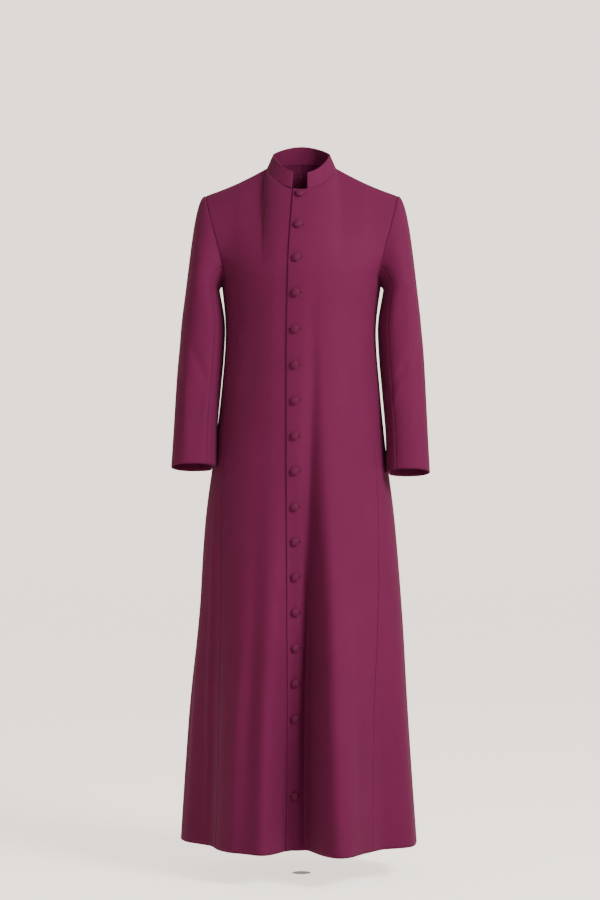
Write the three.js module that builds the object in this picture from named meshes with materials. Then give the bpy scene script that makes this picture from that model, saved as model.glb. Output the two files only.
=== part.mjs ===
// A worn Roman-style cassock: two overlapping fronts, side bodies, backs, a standing collar,
// two-piece sleeves and a row of cloth-covered buttons. Every piece of cloth is a thin wall.
// Millimetres, +Z up, front towards -Y, wearer's left towards +X, origin at the base of the neck.
import * as THREE from 'three';
import { mergeVertices } from 'three/addons/utils/BufferGeometryUtils.js';

// ---- driving dimensions ----
const CLOTH = 2; // wall of cloth with its interlining
const SEAM = 0.3; // open line between two sewn pieces
const HEM_Z = -1440;
const CHEST_Z = -235; // level where the side panels end and the armholes begin
const ARMHOLE_DIP = 20; // how far the armhole drops below the chest level under the arm
const UNDERLAP = 46; // width of the right front that lies under the left one

// The body from hem to chest: a ring at each level.
const BODY = {
  z: [-1440, -1288, -1138, -967, -752, -600, -470, -347, -235],
  centre: [-7, -7.5, -7, -3, -3, -2.5, -1.5, -1.5, 0],
  half: [254, 244, 234, 220.5, 203, 183, 169, 161, 172],
  front: [195, 186, 177, 165, 150, 140, 132, 128, 134],
  back: [215, 200, 186, 169, 149, 135, 122, 106, 118],
};

// Soft folds of the skirt: outward (+) or inward (-) at the hem, fading out at the top level.
const FOLDS = [
  { name: 'right side hollow', angle: -78, width: 13, depth: -14, top: -700 },
  { name: 'right seam flat', angle: -60, width: 17, depth: -42, top: -640 },
  { name: 'right front ridge', angle: -17, width: 8, depth: 16, top: -620 },
  { name: 'lap hollow', angle: -5, width: 6.5, depth: -56, top: -560 },
  { name: 'inverted fold', angle: 5, width: 6.5, depth: -62, top: -430 },
  { name: 'left front ridge', angle: 18, width: 11, depth: 48, top: -420 },
  { name: 'left seam hollow', angle: 48, width: 10, depth: -17, top: -700 },
  { name: 'left side ridge', angle: 66, width: 11, depth: 8, top: -650 },
  { name: 'left back hollow', angle: 122, width: 11, depth: -22, top: -620 },
  { name: 'left back ridge', angle: 147, width: 11, depth: 20, top: -520 },
  { name: 'centre back hollow', angle: 173, width: 9, depth: -30, top: -480 },
  { name: 'right back ridge', angle: -164, width: 10, depth: 17, top: -560 },
  { name: 'right back hollow', angle: -138, width: 11, depth: -26, top: -600 },
  { name: 'right rear ridge', angle: -112, width: 12, depth: 12, top: -680 },
];

// Where the panels meet, as angles round the ring from centre front (+ is the wearer's left).
const SEAMS = {
  z: [-1440, -1165, -1000, -765, -500, -235],
  frontLeft: [38, 44, 48, 54, 64, 72],
  frontRight: [-49.5, -50, -52, -55, -66, -72],
  backLeft: [126, 125, 123, 120, 113, 108],
  backRight: [-126, -125, -123, -120, -113, -108],
};
const SEAM_TOP = 72; // angle of the front side seams at the armhole
const LAP = {
  z: [-1440, -1327, -1100, -600, -350, -235],
  x: [-36.5, -34, -32, -32, -31.5, -29],
};

// Neck and shoulders.
const NECK = { half: 74, front: 78, back: 60, frontZ: -52, backZ: 14, column: 29, spread: 1.7 };
const SHOULDER_TIP = new THREE.Vector3(206, 12, -58);
const COLLAR = {
  frontHeight: 35,
  sideHeight: 30,
  backHeight: 38,
  lean: 14, // how far the top edge stands inside the seam
  gapRight: -20.5, // ends of the band on each side of the front opening
  gapLeft: 12,
  gapFlare: 3,
};

// Sleeves: a ring at each level, for the arm on either side of the body.
const SLEEVE = {
  z: [-262, -330, -400, -470, -560, -640],
  outer: [248, 256.5, 263, 267, 271, 275],
  inner: [176.5, 169, 169.5, 174, 179, 180],
  front: [-78, -72, -66, -68, -82, -92],
  back: [88, 84, 76, 60, 34, 10],
};
const ARM_GAP = 1.2; // clear space kept between sleeve and body
const ARMS = {
  left: { side: 1, cuffDrop: 11, outward: -2 },
  right: { side: -1, cuffDrop: 0, outward: 2 },
};
const CUFF_TILT = 9; // the back of the cuff hangs this far below its centre

// Buttons: heights down the front, and the domed profile.
const BUTTON = { radius: 8.5, height: 7, rim: 2.8, stem: 2, inset: 17 };
const BUTTON_Z = [
  -62, -129, -200, -273.5, -349.5, -424.5, -499.5, -573.5, -647,
  -722, -794.5, -868, -942, -1016, -1090.5, -1165, -1327,
];

// ---- look of the cloth ----
const WOOL = { color: 0x7c2a55, roughness: 0.82, metalness: 0 };
const COVERED = { color: 0x742650, roughness: 0.75, metalness: 0 };

// ---- small helpers ----
const rad = THREE.MathUtils.degToRad;
const lerp = THREE.MathUtils.lerp;
const clamp01 = (t) => Math.min(1, Math.max(0, t));
const smooth = (t) => clamp01(t) ** 2 * (3 - 2 * clamp01(t));

// Value of a table column at a height, by a smooth curve through its rows.
function at(table, column, z) {
  const zs = table.z;
  const values = table[column];
  const rising = zs[1] > zs[0];
  const last = zs.length - 1;
  let i = 0;
  while (i < last - 1 && (rising ? z > zs[i + 1] : z < zs[i + 1])) i += 1;
  const slope = (k) => {
    const lo = Math.max(0, k - 1);
    const hi = Math.min(last, k + 1);
    return (values[hi] - values[lo]) / (zs[hi] - zs[lo]);
  };
  const step = zs[i + 1] - zs[i];
  const t = clamp01((z - zs[i]) / step);
  return hermite(values[i], slope(i) * step, values[i + 1], slope(i + 1) * step, t);
}

// Cubic from a to b with the slopes da and db at its ends.
function hermite(a, da, b, db, t) {
  const t2 = t * t;
  const t3 = t2 * t;
  return a * (2 * t3 - 3 * t2 + 1) + da * (t3 - 2 * t2 + t) + b * (3 * t2 - 2 * t3) + db * (t3 - t2);
}

function hermitePoint(a, da, b, db, t) {
  return new THREE.Vector3(
    hermite(a.x, da.x, b.x, db.x, t),
    hermite(a.y, da.y, b.y, db.y, t),
    hermite(a.z, da.z, b.z, db.z, t),
  );
}

// ---- the body surface ----
// A point of the outer face at an angle and height below the chest: ring plus folds.
function ringPoint(angle, z) {
  const half = at(BODY, 'half', z);
  const s = Math.sin(rad(angle));
  const c = Math.cos(rad(angle));
  const depth = at(BODY, c >= 0 ? 'front' : 'back', z);
  const normal = new THREE.Vector2(s / half, -c / depth).normalize();
  let out = 0;
  for (const fold of FOLDS) {
    const turn = ((angle - fold.angle + 540) % 360) - 180;
    const grown = smooth((fold.top - z) / (fold.top - HEM_Z));
    out += fold.depth * grown * Math.exp(-((turn / fold.width) ** 2));
  }
  const x = at(BODY, 'centre', z) + half * s + normal.x * out;
  return new THREE.Vector3(x, -depth * c + normal.y * out, z);
}

// A point of the neck seam; turn is 0 at centre front and 180 at centre back.
function neckPoint(turn) {
  const s = Math.sin(rad(turn));
  const c = Math.cos(rad(turn));
  const y = c >= 0 ? -NECK.front * c : -NECK.back * c;
  const z = c >= 0 ? NECK.frontZ * c ** 1.4 : NECK.backZ * (-c) ** 1.2;
  return new THREE.Vector3(NECK.half * s, y, z);
}

// The turn round the neck that the column at this angle runs up to.
function neckTurn(angle) {
  const column = Math.min(Math.abs(angle), 180 - Math.abs(angle));
  const turn = 90 * (column / NECK.column) ** NECK.spread;
  return Math.sign(angle) * (Math.abs(angle) <= 90 ? turn : 180 - turn);
}

// The top edge of the column that starts at this angle: neck seam, then shoulder seam.
function topPoint(angle) {
  const side = Math.sign(angle) || 1;
  const front = Math.abs(angle) <= 90;
  const column = front ? Math.abs(angle) : 180 - Math.abs(angle);
  if (column <= NECK.column) return neckPoint(neckTurn(angle));
  const t = (column - NECK.column) / (SEAM_TOP - NECK.column);
  const neckSide = neckPoint(90 * side);
  const tip = SHOULDER_TIP.clone();
  tip.x *= side;
  const dip = 4 * Math.sin(Math.PI * t);
  const sewn = front ? -SEAM / 2 : SEAM / 2;
  return neckSide.lerp(tip, t).add(new THREE.Vector3(0, sewn, -dip));
}

// Above the chest each column is one curve from the chest ring to the neck or shoulder.
const COLUMN_START = 150;
const TOP_PULLS = [
  { column: 0, x: 0, y: 45, z: 75 },
  { column: 29, x: -25, y: 55, z: 55 },
  { column: 50, x: 0, y: 105, z: 45 },
  { column: 72, x: 14, y: 165, z: 105 },
];
const ARMHOLE_PULL = { x: 12, y: 135, z: 110 };

function upperPoint(angle, t) {
  const side = Math.sign(angle) || 1;
  const front = Math.abs(angle) <= 90;
  const inward = front ? 1 : -1;
  const column = front ? Math.abs(angle) : 180 - Math.abs(angle);
  const start = ringPoint(angle, CHEST_Z);
  const below = ringPoint(angle, CHEST_Z - 20);
  const rise = start.clone().sub(below).multiplyScalar(COLUMN_START / 20);
  const armhole = new THREE.Vector3(side * ARMHOLE_PULL.x, -inward * ARMHOLE_PULL.y, ARMHOLE_PULL.z);
  rise.lerp(armhole, (column / SEAM_TOP) ** 4);
  let k = 0;
  while (k < TOP_PULLS.length - 2 && column > TOP_PULLS[k + 1].column) k += 1;
  const lower = TOP_PULLS[k];
  const upper = TOP_PULLS[k + 1];
  const f = smooth((column - lower.column) / (upper.column - lower.column));
  const pull = new THREE.Vector3(
    side * lerp(lower.x, upper.x, f),
    inward * lerp(lower.y, upper.y, f),
    lerp(lower.z, upper.z, f),
  );
  return hermitePoint(start, rise, topPoint(angle), pull, t);
}

// Rows of the body: hem to chest by height, then chest to the top edge in equal steps.
const LEVELS = [
  -1440, -1370, -1280, -1180, -1080, -980, -880, -780, -690, -600, -520, -440, -370, -300, CHEST_Z,
];
const CHEST_ROW = LEVELS.length - 1;
const UPPER_ROWS = 7;
const TOP_ROW = CHEST_ROW + UPPER_ROWS;

function levelAt(row) {
  const i = Math.min(CHEST_ROW - 1, Math.floor(row));
  return lerp(LEVELS[i], LEVELS[i + 1], row - i);
}

function bodyPoint(angle, row) {
  if (row <= CHEST_ROW) return ringPoint(angle, levelAt(row));
  const wrapped = ((angle + 540) % 360) - 180;
  return upperPoint(wrapped, (row - CHEST_ROW) / UPPER_ROWS);
}

// Outward direction of any surface given as a function of two parameters.
function outward(surface, u, v, du, dv) {
  const across = surface(u + du, v).sub(surface(u - du, v));
  const along = surface(u, v + dv).sub(surface(u, v - dv));
  return across.cross(along).normalize();
}

// Both sides of a shoulder seam share one normal, square to the seam's own plane.
function bodyNormal(angle, row) {
  const inside = Math.min(Math.max(row, 0.05), TOP_ROW - 0.05);
  const hold = row > CHEST_ROW ? 1 : 0.5;
  const normal = outward(bodyPoint, angle, inside, hold, 0.04);
  const column = Math.min(Math.abs(angle), 180 - Math.abs(angle));
  if (row >= TOP_ROW - 0.01 && column >= NECK.column) normal.setY(0).normalize();
  return normal;
}

// ---- walls ----
// A closed wall between two grids of points, outer[i][j] and inner[i][j].
function wall(outer, inner) {
  const rows = outer.length;
  const columns = outer[0].length;
  const positions = [];
  const quad = (a, b, c, d) => {
    for (const p of [a, b, c, a, c, d]) positions.push(p.x, p.y, p.z);
  };
  for (let i = 0; i + 1 < rows; i += 1) {
    for (let j = 0; j + 1 < columns; j += 1) {
      quad(outer[i][j], outer[i][j + 1], outer[i + 1][j + 1], outer[i + 1][j]);
      quad(inner[i][j], inner[i + 1][j], inner[i + 1][j + 1], inner[i][j + 1]);
    }
    const e = columns - 1;
    quad(outer[i][0], outer[i + 1][0], inner[i + 1][0], inner[i][0]);
    quad(outer[i][e], inner[i][e], inner[i + 1][e], outer[i + 1][e]);
  }
  for (let j = 0; j + 1 < columns; j += 1) {
    const t = rows - 1;
    quad(outer[0][j], inner[0][j], inner[0][j + 1], outer[0][j + 1]);
    quad(outer[t][j], outer[t][j + 1], inner[t][j + 1], inner[t][j]);
  }
  const geometry = new THREE.BufferGeometry();
  geometry.setAttribute('position', new THREE.Float32BufferAttribute(positions, 3));
  const merged = mergeVertices(geometry, 1e-4);
  merged.computeVertexNormals();
  return merged;
}

const cassock = new THREE.Group();
cassock.name = 'cassock';

function addMesh(name, geometry, look) {
  const mesh = new THREE.Mesh(geometry, new THREE.MeshStandardMaterial(look));
  mesh.name = name;
  cassock.add(mesh);
  return mesh;
}

// The angle, in degrees, that half a seam's opening takes at this level.
function seamAngle(row) {
  const radius = row <= CHEST_ROW ? at(BODY, 'half', levelAt(row)) : BODY.half.at(-1);
  return THREE.MathUtils.radToDeg(SEAM / 2 / radius) * 1.3;
}

function seamAt(column, row) {
  return row <= CHEST_ROW ? at(SEAMS, column, levelAt(row)) : SEAMS[column].at(-1);
}

// The edge of the overlapping front, as an angle; shift moves it across the front.
function lapAngle(row, shift = 0) {
  const z = row <= CHEST_ROW ? levelAt(row) : CHEST_Z;
  const x = at(LAP, 'x', z) + shift - at(BODY, 'centre', z);
  return THREE.MathUtils.radToDeg(Math.asin(x / at(BODY, 'half', z)));
}

// A panel of the body: columns between two edges, rows from the hem to topRow.
// sink moves a point inwards, and dip lowers the top edge.
function bodyPanel(name, { angles, topRow, sink = () => 0, dip = null }) {
  const outer = [];
  const inner = [];
  for (let row = 0; row <= topRow; row += 1) {
    const outerRow = [];
    const innerRow = [];
    for (const angle of angles(row)) {
      const lowered = dip && row === topRow;
      const point = lowered ? ringPoint(angle, CHEST_Z - dip(angle)) : bodyPoint(angle, row);
      const normal = bodyNormal(angle, row);
      const depth = sink(angle, row);
      outerRow.push(point.clone().addScaledVector(normal, -depth));
      innerRow.push(point.clone().addScaledVector(normal, -depth - CLOTH));
    }
    outer.push(outerRow);
    inner.push(innerRow);
  }
  return addMesh(name, wall(outer, inner), WOOL);
}

// Equal steps between two angles.
function steps(from, to, count) {
  return Array.from({ length: count + 1 }, (_, i) => lerp(from, to, i / count));
}

// ---- fronts ----
const OVERLAP_STEPS = 4;

function overlapAngles(row) {
  return steps(lapAngle(row), lapAngle(row, UNDERLAP), OVERLAP_STEPS);
}

// Neck-side column: fixed above the chest, and sliding into the skirt below it.
function neckColumn(row, seam) {
  return row >= CHEST_ROW ? NECK.column : Math.min(NECK.column, Math.abs(seam) * 0.55);
}

function frontLeftAngles(row) {
  const seam = seamAt('frontLeft', row) - seamAngle(row);
  const middle = neckColumn(row, seam);
  const lapped = overlapAngles(row);
  const open = steps(lapped.at(-1), middle, 5).slice(1);
  return [...lapped, ...open, ...steps(middle, seam, 5).slice(1)];
}

function frontRightAngles(row) {
  const seam = seamAt('frontRight', row) + seamAngle(row);
  const middle = -neckColumn(row, seam);
  const lapped = overlapAngles(row);
  const open = steps(middle, lapped[0], 4).slice(1);
  return [...steps(seam, middle, 5), ...open, ...lapped.slice(1)];
}

const frontLeft = bodyPanel('front_left', { topRow: TOP_ROW, angles: frontLeftAngles });

bodyPanel('front_right', {
  topRow: TOP_ROW,
  angles: frontRightAngles,
  sink: (angle, row) => {
    const clear = (lapAngle(row) - angle) / 12;
    return (CLOTH + SEAM) * (1 - smooth(clear));
  },
});

// ---- side bodies ----
const SIDE_COLUMNS = 6;
const dipAt = (from, to) => (angle) => {
  const t = (Math.abs(angle) - from) / (to - from);
  return ARMHOLE_DIP * Math.sin(Math.PI * clamp01(t));
};

for (const [name, side] of [['side_body_left', 1], ['side_body_right', -1]]) {
  const front = side > 0 ? 'frontLeft' : 'frontRight';
  const back = side > 0 ? 'backLeft' : 'backRight';
  bodyPanel(name, {
    topRow: CHEST_ROW,
    angles: (row) => {
      const from = seamAt(front, row) + side * seamAngle(row);
      const to = seamAt(back, row) - side * seamAngle(row);
      return side > 0 ? steps(from, to, SIDE_COLUMNS) : steps(to, from, SIDE_COLUMNS);
    },
    dip: dipAt(SEAM_TOP, 180 - SEAM_TOP),
  });
}

// ---- backs ----
function backAngles(side, row) {
  const seam = seamAt(side > 0 ? 'backLeft' : 'backRight', row) + side * seamAngle(row);
  const centre = side * (180 - seamAngle(row));
  const middle = side * (180 - NECK.column);
  const list = [...steps(seam, middle, 4), ...steps(middle, centre, 4).slice(1)];
  return side > 0 ? list : list.reverse();
}

for (const [name, side] of [['back_left', 1], ['back_right', -1]]) {
  bodyPanel(name, { topRow: TOP_ROW, angles: (row) => backAngles(side, row) });
}

// ---- collar ----
// Height of the band at a turn round the neck, 0 at the front and 180 at the back.
function collarHeight(turn) {
  const c = Math.cos(rad(turn));
  return c >= 0
    ? lerp(COLLAR.sideHeight, COLLAR.frontHeight, c * c)
    : lerp(COLLAR.sideHeight, COLLAR.backHeight, c * c);
}

function collarPoint(turn, rise) {
  const base = neckPoint(turn);
  const inwards = new THREE.Vector2(base.x / NECK.half ** 2, base.y / NECK.front ** 2).normalize();
  const side = turn > 180 ? -1 : 1;
  const nearFront = clamp01(1 - Math.min(turn, 360 - turn) / 40);
  const x = base.x - inwards.x * COLLAR.lean * rise * 0.95 + side * COLLAR.gapFlare * rise * nearFront;
  const y = base.y - inwards.y * COLLAR.lean * rise * 0.55;
  return new THREE.Vector3(x, y, base.z + SEAM + collarHeight(turn) * rise);
}

// The band's columns stand on the columns of the panels below it.
function collarTurns() {
  const turnAt = (x) => THREE.MathUtils.radToDeg(Math.asin(x / NECK.half));
  const from = turnAt(COLLAR.gapLeft);
  const to = 360 + turnAt(COLLAR.gapRight);
  const panels = [
    ...frontLeftAngles(TOP_ROW),
    ...backAngles(1, TOP_ROW),
    ...backAngles(-1, TOP_ROW).slice(1),
    ...frontRightAngles(TOP_ROW),
  ];
  const onNeck = panels.filter((angle) => {
    const column = Math.min(Math.abs(angle), 180 - Math.abs(angle));
    return column <= NECK.column + 1e-6;
  });
  const turns = onNeck.map((angle) => (neckTurn(angle) + 360) % 360);
  const between = turns.filter((turn) => turn > from + 1 && turn < to - 1);
  const sorted = [from, ...between, to].sort((a, b) => a - b);
  return sorted.filter((turn, i) => i === 0 || turn - sorted[i - 1] > 0.5);
}

{
  const turns = collarTurns();
  const heights = [0, 0.35, 0.7, 1];
  const outer = [];
  const inner = [];
  for (const rise of heights) {
    outer.push(turns.map((turn) => collarPoint(turn, rise)));
    inner.push(turns.map((turn) => {
      const normal = outward(collarPoint, turn, rise, 0.5, 0.02);
      normal.setZ(0).normalize();
      return collarPoint(turn, rise).addScaledVector(normal, -CLOTH);
    }));
  }
  addMesh('collar', wall(outer, inner), WOOL);
}

// ---- sleeves ----
// The armhole of one side: 0 at the shoulder tip, forwards and down, 0.5 under the arm, then up.
const FRONT_SHARE = 0.4;
const DIP_SHARE = 0.2;

function armholePoint(side, turn) {
  if (turn <= FRONT_SHARE) return upperPoint(side * SEAM_TOP, 1 - turn / FRONT_SHARE);
  if (turn >= 1 - FRONT_SHARE) {
    return upperPoint(side * (180 - SEAM_TOP), (turn - 1 + FRONT_SHARE) / FRONT_SHARE);
  }
  const t = (turn - FRONT_SHARE) / DIP_SHARE;
  const angle = lerp(SEAM_TOP, 180 - SEAM_TOP, t);
  return ringPoint(side * angle, CHEST_Z - dipAt(SEAM_TOP, 180 - SEAM_TOP)(angle));
}

// Outward direction of the body panel along the armhole.
function armholeNormal(side, turn) {
  if (turn <= FRONT_SHARE) {
    return bodyNormal(side * SEAM_TOP, CHEST_ROW + UPPER_ROWS * (1 - turn / FRONT_SHARE));
  }
  if (turn >= 1 - FRONT_SHARE) {
    const t = (turn - 1 + FRONT_SHARE) / FRONT_SHARE;
    return bodyNormal(side * (180 - SEAM_TOP), CHEST_ROW + UPPER_ROWS * t);
  }
  const t = (turn - FRONT_SHARE) / DIP_SHARE;
  return bodyNormal(side * lerp(SEAM_TOP, 180 - SEAM_TOP, t), CHEST_ROW);
}

// A point of the arm's tube at a level; turn runs outer, front, inner, back.
function tubePoint(arm, turn, level) {
  const down = clamp01((SLEEVE.z[0] - level) / (SLEEVE.z[0] - SLEEVE.z.at(-1)));
  const outer = at(SLEEVE, 'outer', level) + arm.outward * down;
  const inner = at(SLEEVE, 'inner', level);
  const front = at(SLEEVE, 'front', level);
  const back = at(SLEEVE, 'back', level);
  const a = turn * 2 * Math.PI;
  const round = (v) => Math.sign(v) * Math.abs(v) ** 0.86;
  let x = (outer + inner) / 2 + ((outer - inner) / 2) * round(Math.cos(a));
  const y = (front + back) / 2 - ((back - front) / 2) * round(Math.sin(a));
  const tilt = CUFF_TILT * Math.sin(a) * down;
  const z = level - arm.cuffDrop * down + tilt;
  x = Math.max(x, bodyReach(arm.side, y, z) + ARM_GAP);
  return new THREE.Vector3(arm.side * x, y, z);
}

// How far the body's side stands out at a depth and height.
function bodyReach(side, y, z) {
  const half = at(BODY, 'half', z);
  const depth = at(BODY, y < 0 ? 'front' : 'back', z);
  const across = half * Math.sqrt(Math.max(0, 1 - (y / depth) ** 2));
  return side * at(BODY, 'centre', z) + across;
}

// The sleeve: s from 0 to 1 is the cap, from the armhole to the first ring; then the tube.
function sleevePoint(arm, turn, s) {
  if (s >= 1) {
    const level = lerp(SLEEVE.z[0], SLEEVE.z.at(-1), s - 1);
    return tubePoint(arm, turn, level);
  }
  const start = armholePoint(arm.side, turn);
  const end = tubePoint(arm, turn, SLEEVE.z[0]);
  const reach = start.distanceTo(end);
  const under = Math.sin(Math.PI * clamp01((turn - 0.3) / 0.4));
  const away = new THREE.Vector3(arm.side * (1 - 0.45 * under), 0, 0.1 + 0.8 * under).normalize();
  const down = tubePoint(arm, turn, SLEEVE.z[0]).sub(tubePoint(arm, turn, SLEEVE.z[0] - 4)).normalize();
  return hermitePoint(
    start,
    away.clone().multiplyScalar(lerp(0.32, 0.7, under) * reach),
    end,
    down.multiplyScalar(-lerp(1.0, 0.8, under) * reach),
    s,
  ).addScaledVector(away, 1.8 * SEAM * (1 - s));
}

function sleeveNormal(arm, turn, s) {
  const reversed = arm.side > 0 ? 1 : -1;
  const inside = Math.min(Math.max(s, 0.06), 1.98);
  const surface = (u, v) => sleevePoint(arm, (u + 1) % 1, v);
  const own = outward(surface, turn, inside, 0.01, 0.03).multiplyScalar(reversed);
  const shared = armholeNormal(arm.side, turn);
  return own.lerp(shared, 1 - smooth(s / 0.22)).normalize();
}

const CAP_STEPS = [0, 0.1, 0.22, 0.36, 0.52, 0.7, 0.86, 1];
const TUBE_STEPS = steps(1, 2, 10).slice(1);
const SLEEVE_STEPS = [...CAP_STEPS, ...TUBE_STEPS];
// The sleeve's columns meet the rows and columns of the panels round the armhole.
const ARMHOLE_TURNS = [
  ...steps(0, FRONT_SHARE, UPPER_ROWS),
  ...steps(FRONT_SHARE, 1 - FRONT_SHARE, SIDE_COLUMNS).slice(1),
  ...steps(1 - FRONT_SHARE, 1, UPPER_ROWS).slice(1, -1),
];
// The seams of the sleeve run from these columns: one inside the front, one at the back.
const FRONT_SEAM_TURN = ARMHOLE_TURNS[UPPER_ROWS - 1];
const BACK_SEAM_TURN = ARMHOLE_TURNS[UPPER_ROWS + SIDE_COLUMNS + 2];
const SLEEVE_OPEN = SEAM / 2 / 330; // half a seam's opening, as a turn round the sleeve

function sleeveTurns(part) {
  if (part === 'under') {
    const inside = ARMHOLE_TURNS.filter((t) => t > FRONT_SEAM_TURN + 0.01 && t < BACK_SEAM_TURN - 0.01);
    return [FRONT_SEAM_TURN + SLEEVE_OPEN, ...inside, BACK_SEAM_TURN - SLEEVE_OPEN];
  }
  const back = ARMHOLE_TURNS.filter((t) => t > BACK_SEAM_TURN + 0.01).map((t) => t - 1);
  const front = ARMHOLE_TURNS.filter((t) => t < FRONT_SEAM_TURN - 0.01);
  return [BACK_SEAM_TURN - 1 + SLEEVE_OPEN, ...back, ...front, FRONT_SEAM_TURN - SLEEVE_OPEN];
}

for (const [label, arm] of Object.entries(ARMS)) {
  for (const part of ['top', 'under']) {
    const turns = sleeveTurns(part);
    const ordered = arm.side > 0 ? turns : [...turns].reverse();
    const outer = [];
    const inner = [];
    for (const s of SLEEVE_STEPS) {
      outer.push(ordered.map((turn) => sleevePoint(arm, (turn + 1) % 1, s)));
      inner.push(ordered.map((turn) => {
        const wrapped = (turn + 1) % 1;
        const normal = sleeveNormal(arm, wrapped, s);
        return sleevePoint(arm, wrapped, s).addScaledVector(normal, -CLOTH);
      }));
    }
    addMesh(`sleeve_${label}_${part}`, wall(outer, inner), WOOL);
  }
}

// ---- buttons ----
// A cloth-covered dome on a short stem that ends just above the cloth.
function buttonGeometry() {
  const profile = [
    new THREE.Vector2(0, 0),
    new THREE.Vector2(BUTTON.stem, 0),
    new THREE.Vector2(BUTTON.stem, BUTTON.rim * 0.7),
    new THREE.Vector2(BUTTON.radius * 0.93, BUTTON.rim),
  ];
  for (const tip of [0, 24, 48, 70]) {
    const x = BUTTON.radius * Math.cos(rad(tip));
    const y = BUTTON.rim + 0.8 + (BUTTON.height - BUTTON.rim - 0.8) * Math.sin(rad(tip));
    profile.push(new THREE.Vector2(x, y));
  }
  profile.push(new THREE.Vector2(0, BUTTON.height));
  const lathe = new THREE.LatheGeometry(profile, 12);
  lathe.deleteAttribute('normal');
  lathe.deleteAttribute('uv');
  const merged = mergeVertices(lathe, 1e-4);
  merged.computeVertexNormals();
  return merged;
}

// The row on the front whose surface passes through a height at the button line.
function rowAtHeight(z, shift) {
  let low = 0;
  let high = TOP_ROW;
  for (let i = 0; i < 40; i += 1) {
    const middle = (low + high) / 2;
    if (bodyPoint(lapAngle(middle, shift), middle).z < z) low = middle;
    else high = middle;
  }
  return low;
}

BUTTON_Z.forEach((z, index) => {
  const row = rowAtHeight(z, BUTTON.inset);
  const angle = lapAngle(row, BUTTON.inset);
  const normal = bodyNormal(angle, row);
  const above = bodyPoint(angle, row).addScaledVector(normal, 30);
  const [seat] = new THREE.Raycaster(above, normal.clone().negate()).intersectObject(frontLeft);
  const name = `button_${String(index + 1).padStart(2, '0')}`;
  const button = addMesh(name, buttonGeometry(), COVERED);
  button.position.copy(seat.point).addScaledVector(seat.face.normal, SEAM);
  button.quaternion.setFromUnitVectors(new THREE.Vector3(0, 1, 0), seat.face.normal);
});

export default cassock;
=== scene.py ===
import math
import bpy
import numpy as np
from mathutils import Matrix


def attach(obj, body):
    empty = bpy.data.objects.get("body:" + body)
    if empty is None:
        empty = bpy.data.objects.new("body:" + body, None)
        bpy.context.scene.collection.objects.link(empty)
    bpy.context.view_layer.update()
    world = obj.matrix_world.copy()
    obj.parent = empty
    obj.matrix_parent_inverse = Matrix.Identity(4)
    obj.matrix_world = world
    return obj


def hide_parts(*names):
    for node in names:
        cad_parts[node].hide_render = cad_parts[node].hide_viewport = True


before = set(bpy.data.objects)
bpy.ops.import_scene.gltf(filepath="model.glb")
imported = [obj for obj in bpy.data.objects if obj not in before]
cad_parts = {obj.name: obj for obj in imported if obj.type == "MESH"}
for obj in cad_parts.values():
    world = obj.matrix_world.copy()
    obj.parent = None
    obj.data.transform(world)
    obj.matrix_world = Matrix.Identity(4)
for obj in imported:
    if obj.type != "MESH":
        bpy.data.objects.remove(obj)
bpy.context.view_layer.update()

# Fronts, sides and backs: fine plain-weave wool, cut in long panels that hang from the neck and
# shoulders. The left front laps over the right, and the skirt falls in a few soft folds.
MM = 0.001
CLOTH = 2.0
SEAM = 0.3
HEM_Z = -1440.0
CHEST_Z = -235.0
ARMHOLE_DIP = 20.0
UNDERLAP = 46.0
BODY = {
    "z": [-1440, -1288, -1138, -967, -752, -600, -470, -347, -235],
    "centre": [-7, -7.5, -7, -3, -3, -2.5, -1.5, -1.5, 0],
    "half": [254, 244, 234, 220.5, 203, 183, 169, 161, 172],
    "front": [195, 186, 177, 165, 150, 140, 132, 128, 134],
    "back": [215, 200, 186, 169, 149, 135, 122, 106, 118],
}
# name, angle, width, depth at the hem, height where the fold has died away
FOLDS = [
    ("right side hollow", -78, 13, -14, -700),
    ("right seam flat", -60, 17, -42, -640),
    ("right front ridge", -17, 8, 16, -620),
    ("lap hollow", -5, 6.5, -56, -560),
    ("inverted fold", 5, 6.5, -62, -430),
    ("left front ridge", 18, 11, 48, -420),
    ("left seam hollow", 48, 10, -17, -700),
    ("left side ridge", 66, 11, 8, -650),
    ("left back hollow", 122, 11, -22, -620),
    ("left back ridge", 147, 11, 20, -520),
    ("centre back hollow", 173, 9, -30, -480),
    ("right back ridge", -164, 10, 17, -560),
    ("right back hollow", -138, 11, -26, -600),
    ("right rear ridge", -112, 12, 12, -680),
]
# angle, height, angular width, half length, depth, slant in degrees a millimetre
CREASES = [
    (9, -560, 3.6, 210, -4.5, 0.004), (6.0, -1120, 3.6, 430, -20.0, 0.0), (15, -1100, 4.5, 420, 6.0, 0.0),
    (-24, -1180, 5.5, 330, -6.0, -0.006),
    (24, -520, 8.0, 260, 2.5, 0.0), (-33, -1250, 4.0, 260, 4.0, 0.004),
    (31, -1230, 4.0, 250, -2.5, 0.004), (-62, -380, 4.0, 60, -2.2, 0.09),
    (-55, -300, 5.0, 50, -1.8, -0.10), (60, -350, 4.0, 60, -2.2, -0.09),
    (52, -290, 5.0, 45, -1.6, 0.10), (-40, -420, 9.0, 120, -1.8, 0.03),
    (-66, -1100, 3.5, 300, 3.5, 0.003), (58, -1150, 4.0, 280, -3.0, -0.004),
    (84, -1050, 5.0, 330, -4.0, 0.004), (-92, -1150, 5.0, 280, -4.5, -0.003),
    (110, -520, 4.0, 90, -2.2, 0.06), (-112, -500, 4.0, 80, -2.4, -0.07),
    (140, -360, 8.0, 30, -2.5, 0.10), (-142, -345, 8.0, 28, -2.8, -0.12),
    (158, -1120, 4.5, 300, 4.5, 0.003), (-150, -1180, 4.0, 280, 4.0, -0.004),
    (165, -330, 10.0, 24, -1.8, 0.0), (-128, -900, 5.0, 260, -3.5, 0.004),
]
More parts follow.
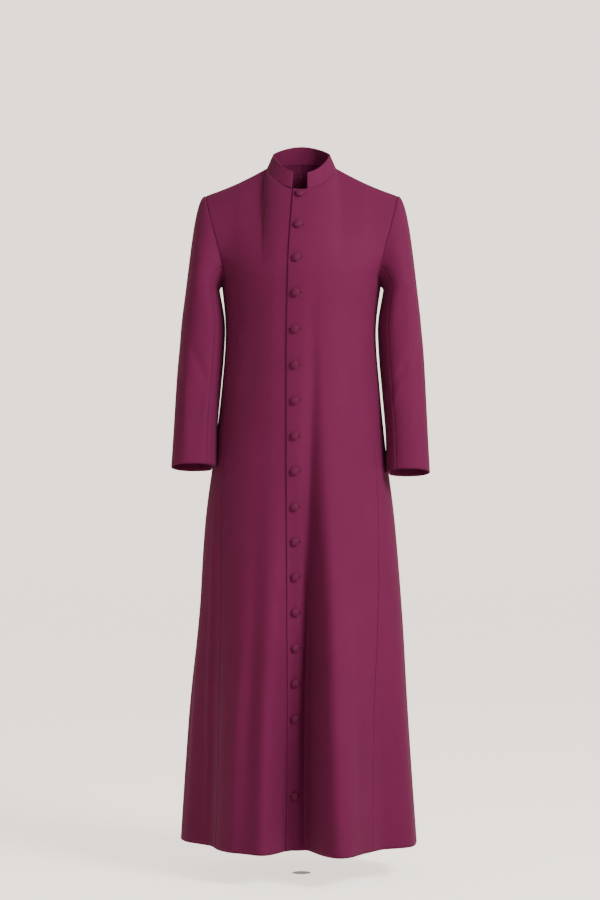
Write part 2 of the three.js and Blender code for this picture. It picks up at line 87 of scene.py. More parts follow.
SEAMS = {
    "z": [-1440, -1165, -1000, -765, -500, -235],
    "frontLeft": [38, 44, 48, 54, 64, 72],
    "frontRight": [-49.5, -50, -52, -55, -66, -72],
    "backLeft": [126, 125, 123, 120, 113, 108],
    "backRight": [-126, -125, -123, -120, -113, -108],
}
SEAM_TOP = 72.0
LAP = {"z": [-1440, -1327, -1100, -600, -350, -235], "x": [-36.5, -34, -32, -32, -31.5, -29]}
NECK = {"half": 74, "front": 78, "back": 60, "frontZ": -52, "backZ": 14, "column": 29, "spread": 1.7}
SHOULDER_TIP = (206.0, 12.0, -58.0)
LEVELS = np.array([-1440, -1370, -1280, -1180, -1080, -980, -880, -780, -690, -600, -520, -440,
                   -370, -300, CHEST_Z])
CHEST_ROW = len(LEVELS) - 1
UPPER_ROWS = 7
TOP_ROW = CHEST_ROW + UPPER_ROWS
STEPS_A_LEVEL = 8
UPPER_STEPS = 56
DIP_ROWS = 2
MM_A_DEGREE = 3.2
GROOVE_WIDTH = 2.4
PANEL_GROOVE = 0.9
OPEN = 0.004
COLUMN_START = 150.0
PULL_COLUMNS = [0, 29, 50, 72]
PULLS = {"x": [0, -25, 0, 14], "y": [45, 55, 105, 165], "z": [75, 55, 45, 105]}
ARMHOLE_PULL = (12.0, 135.0, 110.0)


def smooth(t):
    """Ease from 0 to 1: three t squared less two t cubed, held at the ends."""
    t = np.clip(t, 0, 1)
    return t * t * (3 - 2 * t)


def hermite(a, da, b, db, t):
    """Cubic from a to b with the slopes da and db at its ends."""
    t2, t3 = t * t, t * t * t
    return a * (2 * t3 - 3 * t2 + 1) + da * (t3 - 2 * t2 + t) + b * (3 * t2 - 2 * t3) + db * (t3 - t2)


def at(table, column, z):
    """Smooth curve through a table's rows: a cubic between rows, sloped by its neighbours."""
    zs, values = np.array(table["z"], float), np.array(table[column], float)
    z = np.asarray(z, float)
    if zs[0] > zs[-1]:
        zs, values = zs[::-1], values[::-1]
    last = len(zs) - 1
    i = np.clip(np.searchsorted(zs, z, side="right") - 1, 0, last - 1)
    low, high = np.maximum(np.arange(last + 1) - 1, 0), np.minimum(np.arange(last + 1) + 1, last)
    slope = (values[high] - values[low]) / (zs[high] - zs[low])
    step = zs[i + 1] - zs[i]
    t = np.clip((z - zs[i]) / step, 0, 1)
    return hermite(values[i], slope[i] * step, values[i + 1], slope[i + 1] * step, t)


def turned(angle):
    """The same angle between -180 and 180."""
    return (angle + 540) % 360 - 180


def ring_point(angle, z, creased=True):
    """Ellipse of the level's sizes, moved along its normal by bell-shaped folds and creases."""
    angle, z = np.broadcast_arrays(np.asarray(angle, float), np.asarray(z, float))
    half = at(BODY, "half", z)
    s, c = np.sin(np.radians(angle)), np.cos(np.radians(angle))
    depth = np.where(c >= 0, at(BODY, "front", z), at(BODY, "back", z))
    nx, ny = s / half, -c / depth
    length = np.hypot(nx, ny)
    out = np.zeros_like(half)
    for _, where, width, fold, top in FOLDS:
        out += fold * smooth((top - z) / (top - HEM_Z)) * np.exp(-(turned(angle - where) / width) ** 2)
    if creased:
        for where, level, width, reach, fold, slant in CREASES:
            off = turned(angle - where - slant * (z - level)) / width
            held = smooth((CHEST_Z - z) / 40)
            out += fold * held * np.exp(-off ** 2) * np.exp(-((z - level) / reach) ** 2)
    x = at(BODY, "centre", z) + half * s + nx / length * out
    return np.stack([x, -depth * c + ny / length * out, z], axis=-1)


def neck_point(turn):
    """Ellipse round the neck that dips at the front and rises at the back."""
    s, c = np.sin(np.radians(turn)), np.cos(np.radians(turn))
    y = np.where(c >= 0, -NECK["front"] * c, -NECK["back"] * c)
    z = np.where(c >= 0, NECK["frontZ"] * np.abs(c) ** 1.4, NECK["backZ"] * np.abs(c) ** 1.2)
    return np.stack([NECK["half"] * s, y, z], axis=-1)


def neck_turn(angle):
    """The turn round the neck that the column at this angle runs up to."""
    column = np.minimum(np.abs(angle), 180 - np.abs(angle))
    turn = 90 * (np.clip(column, 0, NECK["column"]) / NECK["column"]) ** NECK["spread"]
    return np.sign(angle) * np.where(np.abs(angle) <= 90, turn, 180 - turn)


def top_point(angle):
    """The neck seam for columns near the centre, then a straight line to the shoulder tip."""
    side = np.where(angle < 0, -1.0, 1.0)
    front = np.abs(angle) <= 90
    column = np.minimum(np.abs(angle), 180 - np.abs(angle))
    t = np.clip((column - NECK["column"]) / (SEAM_TOP - NECK["column"]), 0, None)
    neck_side = neck_point(90 * side)
    tip = np.stack([SHOULDER_TIP[0] * side, SHOULDER_TIP[1] + 0 * side, SHOULDER_TIP[2] + 0 * side], axis=-1)
    line = neck_side + (tip - neck_side) * t[..., None]
    line[..., 1] += np.where(front, -SEAM / 2, SEAM / 2)
    line[..., 2] -= 4 * np.sin(np.pi * t)
    return np.where((column <= NECK["column"])[..., None], neck_point(neck_turn(angle)), line)


def upper_point(angle, t):
    """One cubic for each column, from the chest ring up to the neck or shoulder."""
    angle, t = np.broadcast_arrays(turned(np.asarray(angle, float)), np.asarray(t, float))
    side = np.where(angle < 0, -1.0, 1.0)
    inward = np.where(np.abs(angle) <= 90, 1.0, -1.0)
    column = np.minimum(np.abs(angle), 180 - np.abs(angle))
    start = ring_point(angle, CHEST_Z, False)
    rise = (start - ring_point(angle, CHEST_Z - 20, False)) * (COLUMN_START / 20)
    pull_x, pull_y, pull_z = ARMHOLE_PULL
    armhole = np.stack([side * pull_x, -inward * pull_y, pull_z + 0 * side], axis=-1)
    rise = rise + (armhole - rise) * ((column / SEAM_TOP) ** 4)[..., None]
    k = np.clip(np.searchsorted(PULL_COLUMNS, column, side="left") - 1, 0, 2)
    low, high = np.array(PULL_COLUMNS)[k], np.array(PULL_COLUMNS)[k + 1]
    f = smooth((column - low) / (high - low))
    pull = {}
    for axis, values in PULLS.items():
        below, above = np.array(values)[k], np.array(values)[k + 1]
        pull[axis] = below + (above - below) * f
    pulls = np.stack([side * pull["x"], inward * pull["y"], pull["z"]], axis=-1)
    return hermite(start, rise, top_point(angle), pulls, t[..., None])


def level_at(row):
    """Height of a row of the body, straight between the listed levels."""
    return np.interp(row, np.arange(CHEST_ROW + 1), LEVELS)


def body_point(angle, row):
    """Ring and folds up to the chest, then the column curves."""
    angle, row = np.broadcast_arrays(np.asarray(angle, float), np.asarray(row, float))
    low = ring_point(angle, level_at(row))
    high = upper_point(angle, (row - CHEST_ROW) / UPPER_ROWS)
    return np.where((row <= CHEST_ROW)[..., None], low, high)


def outward(surface, u, v, du, dv):
    """Unit normal: the cross product of the steps across and along the surface."""
    across = surface(u + du, v) - surface(u - du, v)
    along = surface(u, v + dv) - surface(u, v - dv)
    n = np.cross(across, along)
    return n / np.linalg.norm(n, axis=-1, keepdims=True)


def body_normal(angle, row):
    """Outward normal of the body, level across each shoulder seam."""
    n = outward(body_point, angle, np.clip(row, 0.05, TOP_ROW - 0.05), 0.5, 0.04)
    column = np.minimum(np.abs(angle), 180 - np.abs(angle))
    sewn = smooth((row - TOP_ROW + 0.3) / 0.3) * (column >= NECK["column"])
    n[..., 1] *= 1 - sewn
    return n / np.linalg.norm(n, axis=-1, keepdims=True)


def seam_at(column, row):
    """Angle of a panel seam at a row."""
    return at(SEAMS, column, np.minimum(level_at(row), CHEST_Z))


def lap_angle(row, shift=0.0):
    """Angle of the lapping edge, or of a line a shift beside it."""
    z = np.minimum(level_at(row), CHEST_Z)
    return np.degrees(np.arcsin((at(LAP, "x", z) + shift - at(BODY, "centre", z)) / at(BODY, "half", z)))


def mesh_piece(name, vertices, faces, uv=None):
    """An object at the origin from arrays of points and faces, smooth shaded."""
    mesh = bpy.data.meshes.new(name)
    mesh.from_pydata(vertices.tolist(), [], faces.tolist())
    if uv is not None:
        layer = mesh.uv_layers.new(name="cloth")
        layer.data.foreach_set("uv", uv[faces.ravel()].ravel().astype("f"))
    mesh.polygons.foreach_set("use_smooth", np.ones(len(mesh.polygons), dtype=bool))
    mesh.update()
    piece = bpy.data.objects.new(name, mesh)
    bpy.context.scene.collection.objects.link(piece)
    return piece


def grid_faces(rows, columns):
    """Quads of a grid numbered row by row."""
    i, j = np.meshgrid(np.arange(rows - 1), np.arange(columns - 1), indexing="ij")
    a = (i * columns + j).ravel()
    return np.stack([a, a + 1, a + columns + 1, a + columns], axis=-1)


def round_piece(name, grid, around, along):
    """A surface of rings in millimetres, with its cloth laid out in metres around and along it."""
    rows, columns = grid.shape[:2]
    arc = np.stack(np.meshgrid(np.linspace(0, around, columns), np.linspace(0, along, rows)), axis=-1)
    return mesh_piece(name, grid.reshape(-1, 3), grid_faces(rows, columns), arc.reshape(-1, 2))


def cloth_piece(name, points, facing=1):
    """A cloth wall on a grid of outer points in millimetres, thickened inwards."""
    p = points * MM
    rows, columns = p.shape[:2]
    across = np.linalg.norm(np.diff(p, axis=1), axis=-1)
    along = np.linalg.norm(np.diff(p, axis=0), axis=-1)
    u = np.concatenate([np.zeros((rows, 1)), across.cumsum(1)], axis=1)
    v = np.concatenate([np.zeros((1, columns)), along.cumsum(0)], axis=0)
    faces = grid_faces(rows, columns)
    if facing < 0:
        faces = faces[:, ::-1]
    uv = np.stack([u - u[:, -1:] / 2, v], axis=-1).reshape(-1, 2)
    piece = mesh_piece(name, p.reshape(-1, 3), faces, uv)
    wall = piece.modifiers.new("wall", "SOLIDIFY")
    wall.thickness = CLOTH * MM
    wall.offset = -1
    a, b = p[:-1, :-1], p[:-1, 1:]
    c, d = p[1:, 1:], p[1:, :-1]
    first = np.linalg.norm(np.cross(b - a, c - a), axis=-1)
    second = np.linalg.norm(np.cross(c - a, d - a), axis=-1)
    area = (first + second).sum() / 2
    width, length = float(u[:, -1].max()), float(v[-1].max())
    piece["flat"] = (width, length, min(float(area), width * length))
    return piece


def weave_group():
    """Fine crossed threads with slubs and a soft mottle: gives a mask, a height and a mottle."""
    group = bpy.data.node_groups.new("fine wool weave", "ShaderNodeTree")
    face = group.interface
    face.new_socket("Threads", in_out="INPUT", socket_type="NodeSocketFloat").default_value = 1400
    face.new_socket("Mottle Scale", in_out="INPUT", socket_type="NodeSocketFloat").default_value = 9
    face.new_socket("Height", in_out="OUTPUT", socket_type="NodeSocketFloat")
    face.new_socket("Slub", in_out="OUTPUT", socket_type="NodeSocketFloat")
    face.new_socket("Mottle", in_out="OUTPUT", socket_type="NodeSocketFloat")
    nodes, links = group.nodes, group.links
    inp, out = nodes.new("NodeGroupInput"), nodes.new("NodeGroupOutput")
    uv = nodes.new("ShaderNodeUVMap")
    uv.uv_map = "cloth"
    waves = []
    for direction in ("X", "Y"):
        wave = nodes.new("ShaderNodeTexWave")
        wave.bands_direction = direction
        wave.inputs["Distortion"].default_value = 1.2
        wave.inputs["Detail"].default_value = 1
        links.new(uv.outputs["UV"], wave.inputs["Vector"])
        links.new(inp.outputs["Threads"], wave.inputs["Scale"])
        waves.append(wave)
    cross = nodes.new("ShaderNodeMath")
    cross.operation = "MULTIPLY"
    links.new(waves[0].outputs["Fac"], cross.inputs[0])
    links.new(waves[1].outputs["Fac"], cross.inputs[1])
    coords = nodes.new("ShaderNodeTexCoord")
    slub = nodes.new("ShaderNodeTexNoise")
    slub.inputs["Scale"].default_value = 420
    slub.inputs["Detail"].default_value = 4
    mottle = nodes.new("ShaderNodeTexNoise")
    mottle.inputs["Detail"].default_value = 3
    links.new(coords.outputs["Object"], slub.inputs["Vector"])
    links.new(coords.outputs["Object"], mottle.inputs["Vector"])
    links.new(inp.outputs["Mottle Scale"], mottle.inputs["Scale"])
    links.new(cross.outputs[0], out.inputs["Height"])
    links.new(slub.outputs["Fac"], out.inputs["Slub"])
    links.new(mottle.outputs["Fac"], out.inputs["Mottle"])
    return group


WEAVE = weave_group()


def wool(name, dark, light, rough=(0.72, 0.88), bump=0.12):
    """Wool cloth: colour and roughness follow slub and mottle, threads and slubs give the bump."""
    material = bpy.data.materials.new(name)
    material.use_nodes = True
    nodes, links = material.node_tree.nodes, material.node_tree.links
    shader = nodes["Principled BSDF"]
    weave = nodes.new("ShaderNodeGroup")
    weave.node_tree = WEAVE
    mix = nodes.new("ShaderNodeMix")
    mix.data_type = "RGBA"
    mix.inputs["A"].default_value = (*dark, 1)
    mix.inputs["B"].default_value = (*light, 1)
    blend = nodes.new("ShaderNodeMath")
    blend.operation = "MULTIPLY_ADD"
    blend.inputs[1].default_value = 0.55
    links.new(weave.outputs["Slub"], blend.inputs[0])
    half = nodes.new("ShaderNodeMath")
    half.operation = "MULTIPLY"
    half.inputs[1].default_value = 0.45
    links.new(weave.outputs["Mottle"], half.inputs[0])
    links.new(half.outputs[0], blend.inputs[2])
    links.new(blend.outputs[0], mix.inputs["Factor"])
    links.new(mix.outputs["Result"], shader.inputs["Base Color"])
    spread = nodes.new("ShaderNodeMapRange")
    spread.inputs["To Min"].default_value = rough[0]
    spread.inputs["To Max"].default_value = rough[1]
    links.new(weave.outputs["Slub"], spread.inputs["Value"])
    links.new(spread.outputs["Result"], shader.inputs["Roughness"])
    height = nodes.new("ShaderNodeMath")
    height.operation = "MULTIPLY_ADD"
    height.inputs[1].default_value = 0.5
    links.new(weave.outputs["Height"], height.inputs[0])
    links.new(weave.outputs["Slub"], height.inputs[2])
    relief = nodes.new("ShaderNodeBump")
    relief.inputs["Strength"].default_value = bump
    relief.inputs["Distance"].default_value = 0.0006
    links.new(height.outputs[0], relief.inputs["Height"])
    links.new(relief.outputs["Normal"], shader.inputs["Normal"])
    shader.inputs["Sheen Weight"].default_value = 0.06
    shader.inputs["Sheen Roughness"].default_value = 0.45
    shader.inputs["Sheen Tint"].default_value = (0.95, 0.55, 0.78, 1)
    shader.inputs["Specular IOR Level"].default_value = 0.16
    return material


CASSOCK_WOOL = wool("cassock wool", (0.088, 0.0048, 0.0350), (0.136, 0.0090, 0.0580))


def dress(piece, node, material=CASSOCK_WOOL):
    """Give a piece its cloth and its body, and hide the imported part it stands for."""
    piece.data.materials.append(material)
    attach(piece, "root")
    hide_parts(node)


def sewn(piece):
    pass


def groove(distance, depth):
    """The dent beside a seam: its depth times a bell of the distance over the groove's width."""
    return depth * np.exp(-(distance / GROOVE_WIDTH) ** 2)


def seam_edge(column, gap):
    """A panel's edge: the seam's angle at each row, moved by a gap in degrees."""
    return lambda rows: seam_at(column, rows) + gap


def body_panel(name, edge_from, edge_to, columns, top_row, sink=None, dip=None, seams=(True, True)):
    """Angles run between two edges that follow the rows; each seam is a soft shallow groove."""
    lower_rows = np.linspace(0, CHEST_ROW, CHEST_ROW * STEPS_A_LEVEL + 1)
    upper_rows = np.linspace(CHEST_ROW, TOP_ROW, UPPER_STEPS + 1)[1:]
    rows = np.concatenate([lower_rows, upper_rows])
    rows = rows[rows <= top_row]
    u = np.linspace(0, 1, columns + 1)[None, :]
    row = np.repeat(rows[:, None], columns + 1, axis=1)
    start, end = edge_from(rows)[:, None], edge_to(rows)[:, None]
    angle = start + (end - start) * u
    points = body_point(angle, row)
    if dip is not None:
        eased = smooth((row - CHEST_ROW + DIP_ROWS) / DIP_ROWS)
        lowered = ring_point(angle, level_at(row) - dip(angle) * eased)
        points = np.where((row > CHEST_ROW - DIP_ROWS)[..., None], lowered, points)
    normal = body_normal(angle, row)
    depth = sink(angle, row) if sink else np.zeros_like(angle)
    width = np.abs(end - start) * MM_A_DEGREE
    if seams[0]:
        depth = depth + groove(u * width, PANEL_GROOVE)
    if seams[1]:
        depth = depth + groove((1 - u) * width, PANEL_GROOVE)
    piece = cloth_piece(f"{name}_cloth", points - normal * depth[..., None])
    dress(piece, name)
    sewn(piece)


def lap_sink(angle, row):
    """The right front dips under the left one by a thickness of cloth, easing out beside it."""
    return (CLOTH + SEAM) * (1 - smooth((lap_angle(row) - angle) / 12))


def underlap_edge(rows):
    """The right front's hidden edge, an underlap's width beyond the lapping edge."""
    return lap_angle(rows, UNDERLAP)


def back_edge(gap):
    """The centre back seam at 180 degrees, kept a gap away on either side."""
    return lambda rows: np.sign(gap) * -180 + gap + 0 * rows


body_panel("front_left", lap_angle, seam_edge("frontLeft", -OPEN), 110, TOP_ROW, seams=(False, True))
body_panel("front_right", seam_edge("frontRight", OPEN), underlap_edge, 110, TOP_ROW,
           sink=lap_sink, seams=(True, False))


def armhole_dip(angle):
    """The top of a side panel dips under the arm by half a sine."""
    t = np.clip((np.abs(angle) - SEAM_TOP) / (180 - 2 * SEAM_TOP), 0, 1)
    return ARMHOLE_DIP * np.sin(np.pi * t)


body_panel("side_body_left", seam_edge("frontLeft", OPEN), seam_edge("backLeft", -OPEN), 70, CHEST_ROW,
           dip=armhole_dip)
body_panel("side_body_right", seam_edge("backRight", OPEN), seam_edge("frontRight", -OPEN), 70, CHEST_ROW,
           dip=armhole_dip)
body_panel("back_left", seam_edge("backLeft", OPEN), back_edge(-OPEN), 80, TOP_ROW)
body_panel("back_right", back_edge(OPEN), seam_edge("backRight", -OPEN), 80, TOP_ROW)

# Collar: a stiffened standing band of the same cloth, sewn round the neck and left open at the
# front. It leans in towards the neck.
COLLAR = {"front": 35, "side": 30, "back": 38, "lean": 14, "gapRight": -20.5, "gapLeft": 12, "flare": 3}
COLLAR_TUCK = -0.03


def collar_point(turn, rise):
    """The neck ellipse carried up by the band's height and drawn inwards by its lean."""
    base = neck_point(turn)
    nx, ny = base[..., 0] / NECK["half"] ** 2, base[..., 1] / NECK["front"] ** 2
    length = np.hypot(nx, ny)
    side = np.where(turn > 180, -1.0, 1.0)
    near = np.clip(1 - np.minimum(turn, 360 - turn) / 40, 0, 1)
    c = np.cos(np.radians(turn))
    far = np.where(c >= 0, COLLAR["front"], COLLAR["back"])
    height = COLLAR["side"] + (far - COLLAR["side"]) * c * c
    x = base[..., 0] - nx / length * COLLAR["lean"] * rise * 0.95 + side * COLLAR["flare"] * rise * near
    y = base[..., 1] - ny / length * COLLAR["lean"] * rise * 0.55
    return np.stack([x, y, base[..., 2] + SEAM + height * rise], axis=-1)


neck_from = math.degrees(math.asin(COLLAR["gapLeft"] / NECK["half"]))
neck_to = 360 + math.degrees(math.asin(COLLAR["gapRight"] / NECK["half"]))
turns, rises = np.meshgrid(np.linspace(neck_from, neck_to, 181), np.linspace(COLLAR_TUCK, 1, 17))
collar = cloth_piece("collar_cloth", collar_point(turns, rises))
dress(collar, "collar")
sewn(collar)

# Sleeves: two pieces each, set into the armhole with a slightly full head, hanging beside the
# body with the forearm a little forward. The cuffs are plain open ends, tilted a little.
SLEEVE = {
    "z": [-262, -330, -400, -470, -560, -640],
    "outer": [248, 256.5, 263, 267, 271, 275],
    "inner": [175.0, 164, 166, 172, 179, 180],
    "front": [-78, -72, -66, -68, -82, -92],
    "back": [88, 84, 76, 60, 34, 10],
}
ARM_GAP = 1.2
CUFF_TILT = 9.0
ARMS = {"left": (1.0, 11.0, -2.0), "right": (-1.0, 0.0, 2.0)}
FRONT_SHARE = 0.4
DIP_SHARE = 0.2
FRONT_SEAM_TURN = FRONT_SHARE * 6 / 7
BACK_SEAM_TURN = 1 - FRONT_SHARE + FRONT_SHARE * 2 / 7
SLEEVE_GIRTH = 330
SLEEVE_GROOVE = 0.8
TURN_OPEN = 0.00005
# arm, turn, place down the sleeve, width in turns, half length, depth, slant in turns a unit
ARM_CREASES = [
    ("left", 0.16, 1.38, 0.030, 0.09, -3.2, 0.45), ("left", 0.25, 1.45, 0.030, 0.10, -3.8, 0.50),
    ("left", 0.30, 1.56, 0.030, 0.09, 3.0, 0.45), ("left", 0.10, 1.30, 0.04, 0.08, -2.0, 0.6),
    ("left", 0.24, 1.12, 0.045, 0.16, -2.4, 0.1), ("left", 0.72, 1.30, 0.05, 0.10, -2.5, -0.4),
    ("right", 0.18, 1.62, 0.030, 0.26, 2.8, 0.04), ("right", 0.26, 1.45, 0.030, 0.10, -3.0, 0.45),
    ("right", 0.27, 1.70, 0.035, 0.22, -3.0, -0.05), ("right", 0.06, 1.40, 0.05, 0.14, -1.8, 0.3),
    ("right", 0.72, 1.38, 0.05, 0.10, -2.4, -0.4), ("right", 0.85, 1.55, 0.05, 0.20, -2.0, 0.1),
]


def armhole_point(side, turn):
    """Round the armhole: down the front panel's edge, under the arm, and up the back's."""
    front = upper_point(side * SEAM_TOP + 0 * turn, 1 - np.clip(turn / FRONT_SHARE, 0, 1))
    rising = np.clip((turn - 1 + FRONT_SHARE) / FRONT_SHARE, 0, 1)
    back = upper_point(side * (180 - SEAM_TOP) + 0 * turn, rising)
    t = np.clip((turn - FRONT_SHARE) / DIP_SHARE, 0, 1)
    angle = SEAM_TOP + (180 - 2 * SEAM_TOP) * t
    under = ring_point(side * angle, CHEST_Z - armhole_dip(angle), False)
    lower = np.where((turn < 1 - FRONT_SHARE)[..., None], under, back)
    return np.where((turn <= FRONT_SHARE)[..., None], front, lower)


def body_reach(side, y, z):
    """How far the body's side stands out at a depth and height."""
    depth = np.where(y < 0, at(BODY, "front", z), at(BODY, "back", z))
    across = at(BODY, "half", z) * np.sqrt(np.maximum(0, 1 - (y / depth) ** 2))
    return side * at(BODY, "centre", z) + across


def tube_point(arm, turn, level):
    """A rounded box section at each level, kept clear of the body's side."""
    side, drop, out = arm
    down = np.clip((SLEEVE["z"][0] - level) / (SLEEVE["z"][0] - SLEEVE["z"][-1]), 0, 1)
    outer, inner = at(SLEEVE, "outer", level) + out * down, at(SLEEVE, "inner", level)
    front, back = at(SLEEVE, "front", level), at(SLEEVE, "back", level)
    a = turn * 2 * np.pi
    c, s = np.cos(a), np.sin(a)
    x = (outer + inner) / 2 + (outer - inner) / 2 * np.sign(c) * np.abs(c) ** 0.86
    y = (front + back) / 2 - (back - front) / 2 * np.sign(s) * np.abs(s) ** 0.86
    z = level - drop * down + CUFF_TILT * s * down
    x = np.maximum(x, body_reach(side, y, z) + ARM_GAP)
    return np.stack([side * x, y, z], axis=-1)


def sleeve_point(arm, turn, s):
    """A cap of cubics from the armhole to the first ring, then the arm's tube."""
    side = arm[0]
    turn, s = np.broadcast_arrays(np.asarray(turn, float) % 1, np.asarray(s, float))
    first, last = SLEEVE["z"][0], SLEEVE["z"][-1]
    tube = tube_point(arm, turn, first + (last - first) * np.clip(s - 1, 0, 1))
    start, end = armhole_point(side, turn), tube_point(arm, turn, first + 0 * turn)
    reach = np.linalg.norm(end - start, axis=-1, keepdims=True)
    under = np.sin(np.pi * np.clip((turn - 0.3) / 0.4, 0, 1))[..., None]
    away = np.concatenate([side * (1 - 0.45 * under), 0 * under, 0.1 + 0.8 * under], axis=-1)
    away /= np.linalg.norm(away, axis=-1, keepdims=True)
    down = end - tube_point(arm, turn, first - 4 + 0 * turn)
    down /= np.linalg.norm(down, axis=-1, keepdims=True)
    t = np.clip(s, 0, 1)[..., None]
    cap = hermite(start, away * (0.32 + 0.38 * under) * reach, end, down * -(1 - 0.2 * under) * reach, t)
    cap = cap + away * 0.1 * (1 - t)
    return np.where((s >= 1)[..., None], tube, cap)


for label, arm in ARMS.items():
    for part, low, high, count in (("top", BACK_SEAM_TURN - 1, FRONT_SEAM_TURN, 90),
                                   ("under", FRONT_SEAM_TURN, BACK_SEAM_TURN, 60)):
        places = np.concatenate([np.linspace(0, 1, 49), np.linspace(1, 2, 81)[1:]])
        turn, s = np.meshgrid(np.linspace(low + TURN_OPEN, high - TURN_OPEN, count + 1), places)
        points = sleeve_point(arm, turn, s)
        inside = np.clip(s, 0.06, 1.98)
        normal = arm[0] * outward(lambda u, v: sleeve_point(arm, u, v), turn, inside, 0.01, 0.03)
        push = np.zeros_like(s)
        for owner, where, place, width, reach, depth, slant in ARM_CREASES:
            if owner == label:
                off = (turn - where - slant * (s - place) + 0.5) % 1 - 0.5
                push += depth * np.exp(-(off / width) ** 2) * np.exp(-((s - place) / reach) ** 2)
        front_groove = groove((turn - low) * SLEEVE_GIRTH, SLEEVE_GROOVE)
        back_groove = groove((high - turn) * SLEEVE_GIRTH, SLEEVE_GROOVE)
        push -= front_groove + back_groove
        piece = cloth_piece(f"sleeve_{label}_{part}_cloth", points + normal * push[..., None], arm[0])
        dress(piece, f"sleeve_{label}_{part}")
        sewn(piece)

# Buttons: domes covered in the same cloth, each on a short stem through a worked buttonhole whose
# end shows beside it.
BUTTON = {"radius": 8.5, "height": 7.0, "rim": 2.8, "stem": 2.0, "inset": 17, "edge": 0.8, "lift": 0.3}
DOME_FROM = -35
DOME_TO = 89
HALVINGS = 40
HOLE = {"from": 2, "to": 14.5, "middle": 8, "half": 6.6, "width": 0.9, "height": 0.7, "lift": 0.2}
BUTTON_Z = [-62, -129, -200, -273.5, -349.5, -424.5, -499.5, -573.5, -647,
            -722, -794.5, -868, -942, -1016, -1090.5, -1165, -1327]
COVERED_WOOL = wool("covered button wool", (0.076, 0.0040, 0.0300), (0.116, 0.0080, 0.0490),
                    rough=(0.6, 0.75), bump=0.08)
HOLE_THREAD = wool("buttonhole thread", (0.045, 0.003, 0.017), (0.080, 0.007, 0.030),
                   rough=(0.65, 0.8), bump=0.2)


def row_at_height(z, shift):
    """The row where the button line passes through a height, by halving."""
    low, high = 0.0, float(TOP_ROW)
    for _ in range(HALVINGS):
        middle = (low + high) / 2
        if body_point(lap_angle(middle, shift), middle)[2] < z:
            low = middle
        else:
            high = middle
    return low


def seat_frame(row, shift):
    """A point of the front and the directions across, along and out of it."""
    angle = lap_angle(row, shift)
    point = body_point(angle, row)
    n = body_normal(angle, row)
    across = body_point(angle + 0.3, row) - point
    across /= np.linalg.norm(across)
    return point, across, np.cross(n, across), n


def dome(row):
    """The button's profile of radius and height, turned round its stem."""
    rim, height, radius = BUTTON["rim"], BUTTON["height"], BUTTON["radius"]
    edge = BUTTON["edge"]
    tips = np.radians(np.linspace(DOME_FROM, DOME_TO, 16))
    r = np.concatenate([[BUTTON["stem"], BUTTON["stem"]], radius * np.cos(tips)])
    h = np.concatenate([[BUTTON["lift"], rim * 0.7], rim + edge + (height - rim - edge) * np.sin(tips)])
    turn = np.linspace(0, 2 * np.pi, 33)
    point, across, up, n = seat_frame(row, BUTTON["inset"])
    ring = across * np.cos(turn)[:, None] + up * np.sin(turn)[:, None]
    return point + r[:, None, None] * ring[None] + h[:, None, None] * n


def hole(row):
    """A low rounded bar of thread beside the button, its ends tapered."""
    u, v = np.meshgrid(np.linspace(HOLE["from"], HOLE["to"], 19), np.linspace(0, 2 * np.pi, 13))
    taper = np.sqrt(np.clip(1 - ((u - HOLE["middle"]) / HOLE["half"]) ** 2, 0.02, 1))
    point, across, up, n = seat_frame(row, BUTTON["inset"])
    centre = point + across * u[..., None] + n * HOLE["lift"]
    beside = up * (HOLE["width"] * taper * np.cos(v))[..., None]
    above = n * (HOLE["height"] * taper * np.sin(v))[..., None]
    return centre + beside + above


for index, z in enumerate(BUTTON_Z):
    row = row_at_height(z, BUTTON["inset"])
    name = f"button_{index + 1:02d}"
    piece = round_piece(f"{name}_dome", dome(row) * MM, 0.05, 0.015)
    dress(piece, name, COVERED_WOOL)
    stitch = round_piece(f"buttonhole_{index + 1:02d}", hole(row) * MM, 0.012, 0.005)
    stitch.data.materials.append(HOLE_THREAD)
    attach(stitch, "root")

# Studio: a round pale floor that curves up into a wall all round, a soft key from high on the
# wearer's left front, a weak fill and an even sky.
FLOOR_Z = -1.508
FLOOR_RADIUS = 9.0
FLOOR_HOLE = 0.02
CURVE = 2.0
WALL_HEIGHT = 14.0
GLOW_SEEN = 1.45
GLOW_CAST = 0.14
run = np.linspace(0, 1, 40)
bend = np.linspace(0, np.pi / 2, 16)[1:]
floor_radius, curve_radius = FLOOR_HOLE + run * FLOOR_RADIUS, FLOOR_RADIUS + CURVE * np.sin(bend)
radius = np.concatenate([floor_radius, curve_radius, [FLOOR_RADIUS + CURVE]])[:, None]
height = np.concatenate([0 * run, CURVE * (1 - np.cos(bend)), [WALL_HEIGHT]])[:, None] + FLOOR_Z
spin = np.linspace(0, 2 * np.pi, 97)[None, :]
room = np.stack([radius * np.cos(spin), radius * np.sin(spin), height + 0 * spin], axis=-1)
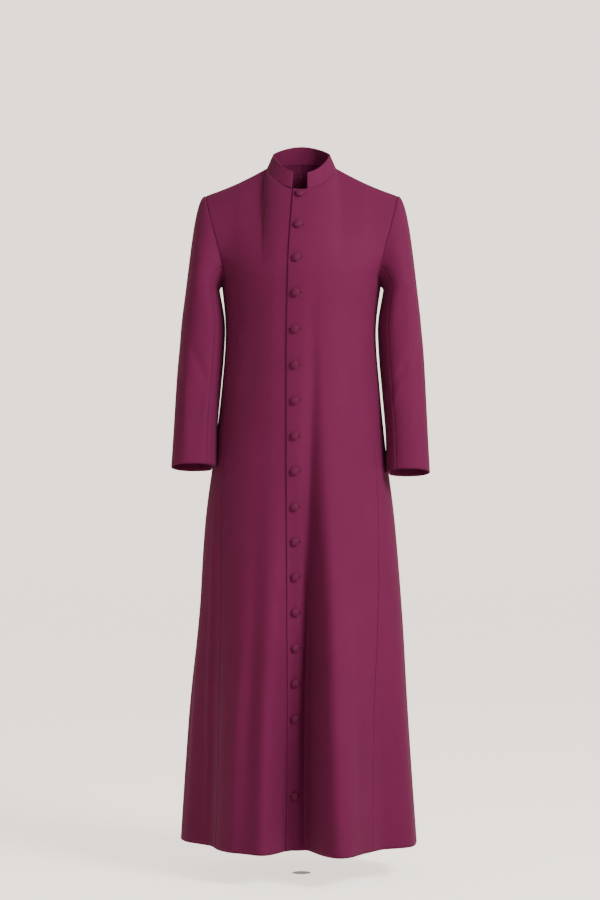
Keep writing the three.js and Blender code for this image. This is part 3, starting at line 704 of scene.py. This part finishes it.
backdrop = mesh_piece("backdrop", room.reshape(-1, 3), grid_faces(*room.shape[:2]))
paper = bpy.data.materials.new("pale paper")
paper.use_nodes = True
paper_nodes, paper_links = paper.node_tree.nodes, paper.node_tree.links
paper_shader = paper_nodes["Principled BSDF"]
paper_shader.inputs["Base Color"].default_value = (0.90, 0.85, 0.81, 1)
paper_shader.inputs["Emission Color"].default_value = (1.0, 0.90, 0.82, 1)
paper_shader.inputs["Roughness"].default_value = 0.9
rays = paper_nodes.new("ShaderNodeLightPath")
glow = paper_nodes.new("ShaderNodeMath")
glow.operation = "MULTIPLY_ADD"
glow.inputs[1].default_value = GLOW_SEEN
glow.inputs[2].default_value = GLOW_CAST
paper_links.new(rays.outputs["Is Camera Ray"], glow.inputs[0])
paper_links.new(glow.outputs[0], paper_shader.inputs["Emission Strength"])
backdrop.data.materials.append(paper)


def soft_light(name, place, aim, size, power, colour):
    """An area light at a place, turned to face a point."""
    lamp = bpy.data.lights.new(name, "AREA")
    lamp.size = size
    lamp.energy = power
    lamp.color = colour
    light = bpy.data.objects.new(name, lamp)
    light.location = place
    way = np.array(aim) - np.array(place)
    light.rotation_euler = (math.atan2(math.hypot(way[0], way[1]), -way[2]), 0, math.atan2(-way[0], way[1]))
    bpy.context.scene.collection.objects.link(light)


soft_light("key", (3.1, -3.0, 2.1), (0, 0, -0.2), 1.5, 330, (1.0, 0.97, 0.95))
soft_light("fill", (-3.6, -4.2, 0.4), (0, 0, -0.7), 2.6, 22, (1.0, 0.97, 0.95))
world = bpy.data.worlds.new("studio")
world.use_nodes = True
world.node_tree.nodes["Background"].inputs["Color"].default_value = (1.0, 0.965, 0.93, 1)
world.node_tree.nodes["Background"].inputs["Strength"].default_value = 0.30
bpy.context.scene.world = world

lens = bpy.data.cameras.new("camera")
lens.lens = 99
lens.sensor_width = 36
camera = bpy.data.objects.new("camera", lens)
camera.location = (-0.0032, -5.3, -0.603)
camera.rotation_euler = (math.radians(90), 0, 0)
bpy.context.scene.collection.objects.link(camera)
bpy.context.scene.camera = camera
